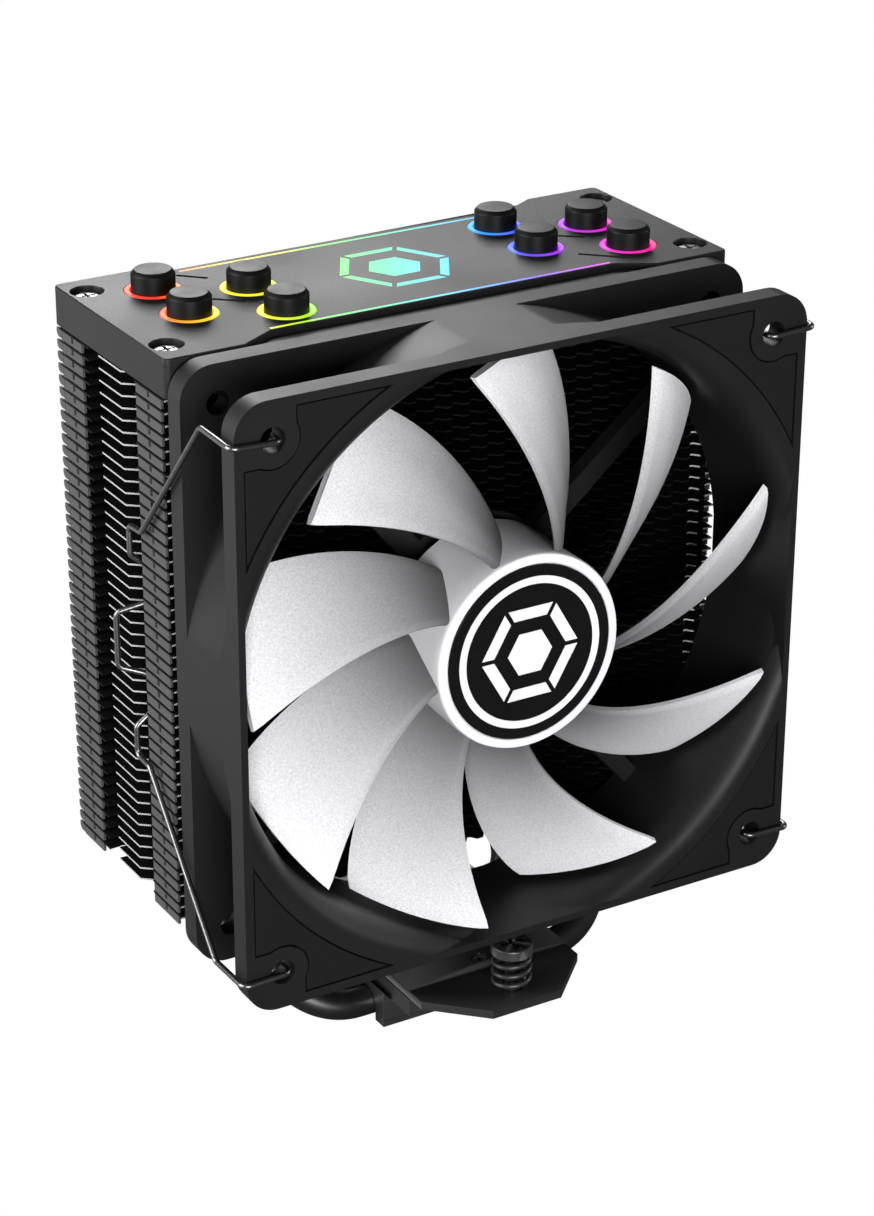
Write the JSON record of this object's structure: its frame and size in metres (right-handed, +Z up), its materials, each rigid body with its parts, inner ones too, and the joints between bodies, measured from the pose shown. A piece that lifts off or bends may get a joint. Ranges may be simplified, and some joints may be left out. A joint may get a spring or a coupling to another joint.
{
  "type": "cpu tower cooler",
  "caption": "Tower cooler for a processor: finned heat sink on bent heat pipes with a cold plate, spring-screw bracket, lit top cover and a clipped-on axial fan.",
  "frame": {"origin": "centre of the cold plate's underside, where it rests on the processor", "axes": "+Z up from the cold plate to the cover, +X to the right seen from the fan, +Y from the fan to the back"},
  "size_m": [0.1278, 0.0809, 0.1501],
  "materials": {
    "cold_plate": "satin",
    "black_steel": "satin",
    "fin_black": "satin",
    "cover_plastic": "matte",
    "dark_plastic": "matte",
    "frame_plastic": "matte",
    "frosted_plastic": "satin",
    "light_plastic": "satin",
    "rubber": "matte",
    "steel": "polished",
    "bronze": "satin",
    "ferrite": "matte",
    "board": "satin"
  },
  "bodies": {
    "cooler": {"base_block": "cold_plate", "bearing_sleeve": "bronze", "bracket_screw_back": "steel", "bracket_screw_front": "steel", "cover_screw_1": "steel", "cover_screw_2": "steel", "cover_screw_3": "steel", "cover_screw_4": "steel", "cover_tray": "dark_plastic", "fan_board": "board", "fan_frame": "frame_plastic", "fin_stack": "fin_black", "front_pad_1": "rubber", "front_pad_2": "rubber", "front_pad_3": "rubber", "front_pad_4": "rubber", "heat_pipe_1": "fin_black", "heat_pipe_2": "fin_black", "heat_pipe_3": "fin_black", "heat_pipe_4": "fin_black", "light_board": "board", "light_guide": "light_plastic", "mounting_bracket": "black_steel", "pipe_cap_1": "black_steel", "pipe_cap_2": "black_steel", "pipe_cap_3": "black_steel", "pipe_cap_4": "black_steel", "pipe_cap_5": "black_steel", "pipe_cap_6": "black_steel", "pipe_cap_7": "black_steel", "pipe_cap_8": "black_steel", "rear_pad_1": "rubber", "rear_pad_2": "rubber", "rear_pad_3": "rubber", "rear_pad_4": "rubber", "screw_spring_back": "black_steel", "screw_spring_front": "black_steel", "stator": "bronze", "top_cover": "cover_plastic"},
    "rotor": {"fan_rotor": "frosted_plastic", "rotor_yoke": "steel", "magnet_ring": "ferrite", "rotor_shaft": "steel", "shaft_clip": "steel", "hub_badge": "dark_plastic"},
    "clip_left": {"wire_clip_left": "steel"},
    "clip_right": {"wire_clip_right": "steel"},
    "front_retainer": {"retaining_ring_front": "steel"},
    "front_screw": {"spring_screw_front": "black_steel"},
    "back_retainer": {"retaining_ring_back": "steel"},
    "back_screw": {"spring_screw_back": "black_steel"}
  },
  "joints": [
    {"name": "rotor_spin", "type": "hinge", "parent": "cooler", "child": "rotor", "pos_m": [0, -0.0265, 0.0858], "axis": [0, 1, 0], "continuous": true},
    {"name": "clip_left_swing", "type": "hinge", "parent": "cooler", "child": "clip_left", "pos_m": [-0.0514, -0.0382, 0.0858], "axis": [0, 0, 1], "range_deg": [0, 20], "stiffness_Nm_per_rad": 0.1},
    {"name": "clip_right_swing", "type": "hinge", "parent": "cooler", "child": "clip_right", "pos_m": [0.0514, -0.0382, 0.0858], "axis": [0, 0, -1], "range_deg": [0, 20], "stiffness_Nm_per_rad": 0.1},
    {"name": "front_screw_press", "type": "slide", "parent": "cooler", "child": "front_retainer", "axis": [0, 0, -1], "range_m": [0, 0.003], "stiffness_N_per_m": 1500, "deforming": ["screw_spring_front"]},
    {"name": "front_screw_turn", "type": "hinge", "parent": "front_retainer", "child": "front_screw", "pos_m": [0, -0.0344, 0.012], "axis": [0, 0, 1], "continuous": true},
    {"name": "back_screw_press", "type": "slide", "parent": "cooler", "child": "back_retainer", "axis": [0, 0, -1], "range_m": [0, 0.003], "stiffness_N_per_m": 1500, "deforming": ["screw_spring_back"]},
    {"name": "back_screw_turn", "type": "hinge", "parent": "back_retainer", "child": "back_screw", "pos_m": [0, 0.0344, 0.012], "axis": [0, 0, 1], "continuous": true}
  ]
}
